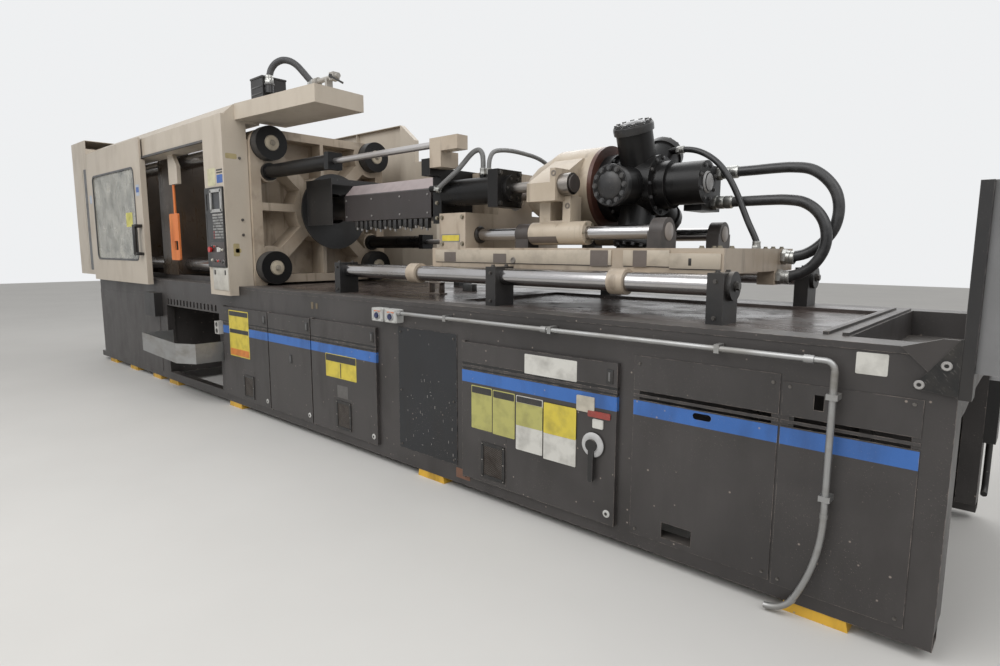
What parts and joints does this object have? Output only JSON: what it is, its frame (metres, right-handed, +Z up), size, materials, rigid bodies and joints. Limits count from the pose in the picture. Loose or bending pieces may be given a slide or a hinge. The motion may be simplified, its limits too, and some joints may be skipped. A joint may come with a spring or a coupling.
{
  "type": "injection moulding machine",
  "caption": "Large horizontal injection moulding machine: grey base, cream guard with sliding gate, tie-bar clamp, and a sliding injection unit with a radial motor.",
  "frame": {"origin": "centre of the machine's footprint, on the floor", "axes": "+X along the machine from the clamp to the injection end, +Y from the operator's side to the far side, +Z up"},
  "size_m": [10.76, 2.36, 3.2959],
  "materials": {
    "machine_grey": "satin, scuffed and dusty",
    "deck_steel": "oily and worn",
    "pad_yellow": "worn",
    "guard_cream": "satin",
    "panel_black": "satin",
    "platen_cream": "painted casting, satin",
    "chrome_bar": "polished",
    "worn_steel": "turned",
    "black_iron": "gloss enamel",
    "pedestal_black": "worn enamel",
    "galvanised": "dull zinc",
    "safety_orange": "satin, chipped",
    "window_clear": "clear plastic",
    "hose_rubber": "matte",
    "hose_grey": "matte",
    "box_grey": "satin",
    "button_blue": "gloss",
    "button_red": "gloss",
    "knob_white": "gloss"
  },
  "bodies": {
    "base": {"side_frames": "machine_grey", "cross_members": "machine_grey", "deck_plate": "deck_steel", "levelling_pads": "pad_yellow", "side_panels": "machine_grey", "cover_plates": "machine_grey", "parts_chute": "galvanised", "limit_boxes": "panel_black", "button_boxes": "box_grey", "conduit_run": "galvanised", "rear_guard": "guard_cream", "guard_header": "guard_cream", "control_column": "guard_cream", "operator_panel": "panel_black", "canopy_beam": "guard_cream", "canopy_box": "panel_black", "canopy_hose": "hose_grey", "stationary_platen": "platen_cream", "cylinder_platen": "platen_cream", "tie_bars": "chrome_bar", "tie_bar_nuts": "black_iron", "purge_shield": "guard_cream", "pull_in_cylinders": "black_iron", "support_rods": "chrome_bar", "rod_pedestals": "pedestal_black", "end_console": "panel_black", "junction_box": "panel_black"},
    "gate": {"sliding_gate": "guard_cream", "gate_window": "window_clear"},
    "clamp_platen": {"moving_platen": "platen_cream", "clamp_ram": "chrome_bar"},
    "ejector": {"ejector_plate": "worn_steel"},
    "safety_drop_bar": {"safety_bar": "safety_orange"},
    "purge_hood": {"purge_guard": "guard_cream"},
    "carriage": {"sled": "platen_cream", "feed_block": "platen_cream", "injection_cylinders": "black_iron", "guide_rods": "chrome_bar", "pull_in_rods": "platen_cream", "barrel": "worn_steel", "barrel_shroud": "guard_cream", "crossover_hose": "hose_grey", "cylinder_conduit": "hose_grey"},
    "drive": {"injection_housing": "platen_cream", "injection_rods": "chrome_bar", "hydraulic_motor": "black_iron", "main_hose_upper": "hose_rubber", "main_hose_lower": "hose_rubber", "drain_hose": "hose_rubber"},
    "screw_body": {"screw": "worn_steel"},
    "door_one": {"access_door_1": "machine_grey"},
    "door_two": {"access_door_2": "machine_grey"},
    "door_three": {"access_door_3": "machine_grey"},
    "cabinet": {"cabinet_door": "machine_grey"},
    "switch_lever": {"disconnect_handle": "panel_black"},
    "left_button": {"push_button_left": "button_blue"},
    "right_button": {"push_button_right": "button_blue"},
    "stop_button": {"estop_button": "button_red"},
    "mode_knob": {"selector_knob": "knob_white"},
    "valve_lever": {"valve_handle": "panel_black"}
  },
  "joints": [
    {"name": "gate_slide", "type": "slide", "parent": "base", "child": "gate", "axis": [1, 0, 0], "range_m": [0, 1.53]},
    {"name": "platen_slide", "type": "slide", "parent": "base", "child": "clamp_platen", "axis": [1, 0, 0], "range_m": [-0.25, 0.7]},
    {"name": "ejector_slide", "type": "slide", "parent": "clamp_platen", "child": "ejector", "axis": [1, 0, 0], "range_m": [0, 0.12]},
    {"name": "safety_bar_slide", "type": "slide", "parent": "base", "child": "safety_drop_bar", "axis": [0, 0, 1], "range_m": [0, 0.25]},
    {"name": "purge_hinge", "type": "hinge", "parent": "base", "child": "purge_hood", "pos_m": [-0.37, 0.52, 2.26], "axis": [-1, 0, 0], "range_deg": [0, 95]},
    {"name": "carriage_slide", "type": "slide", "parent": "base", "child": "carriage", "axis": [1, 0, 0], "range_m": [-0.15, 0.4]},
    {"name": "injection_slide", "type": "slide", "parent": "carriage", "child": "drive", "axis": [1, 0, 0], "range_m": [0, 0.38]},
    {"name": "screw_spin", "type": "hinge", "parent": "drive", "child": "screw_body", "pos_m": [2.3, 0.15, 2.01], "axis": [1, 0, 0], "continuous": true},
    {"name": "door_one_hinge", "type": "hinge", "parent": "base", "child": "door_one", "pos_m": [-0.986, -0.7975, 0.13], "axis": [0, 0, -1], "range_deg": [0, 90]},
    {"name": "door_two_hinge", "type": "hinge", "parent": "base", "child": "door_two", "pos_m": [-0.066, -0.7975, 0.13], "axis": [0, 0, -1], "range_deg": [0, 90]},
    {"name": "door_three_hinge", "type": "hinge", "parent": "base", "child": "door_three", "pos_m": [0.654, -0.7975, 0.13], "axis": [0, 0, -1], "range_deg": [0, 90]},
    {"name": "cabinet_hinge", "type": "hinge", "parent": "base", "child": "cabinet", "pos_m": [2.446, -0.7975, 0.13], "axis": [0, 0, -1], "range_deg": [0, 90]},
    {"name": "switch_turn", "type": "hinge", "parent": "cabinet", "child": "switch_lever", "pos_m": [3.45, -0.82, 0.557], "axis": [0, 1, 0], "range_deg": [0, 90]},
    {"name": "left_button_press", "type": "slide", "parent": "base", "child": "left_button", "axis": [0, 1, 0], "range_m": [0, 0.006], "stiffness_N_per_m": 500},
    {"name": "right_button_press", "type": "slide", "parent": "base", "child": "right_button", "axis": [0, 1, 0], "range_m": [0, 0.006], "stiffness_N_per_m": 500},
    {"name": "stop_button_press", "type": "slide", "parent": "base", "child": "stop_button", "axis": [0, 1, 0], "range_m": [0, 0.005], "stiffness_N_per_m": 500},
    {"name": "mode_knob_turn", "type": "hinge", "parent": "base", "child": "mode_knob", "pos_m": [-0.76, -0.893, 1.59], "axis": [0, 1, 0], "range_deg": [-45, 45]},
    {"name": "valve_turn", "type": "hinge", "parent": "base", "child": "valve_lever", "pos_m": [0.5, -0.432, 3.054], "axis": [0, -1, 0], "range_deg": [0, 90]}
  ]
}
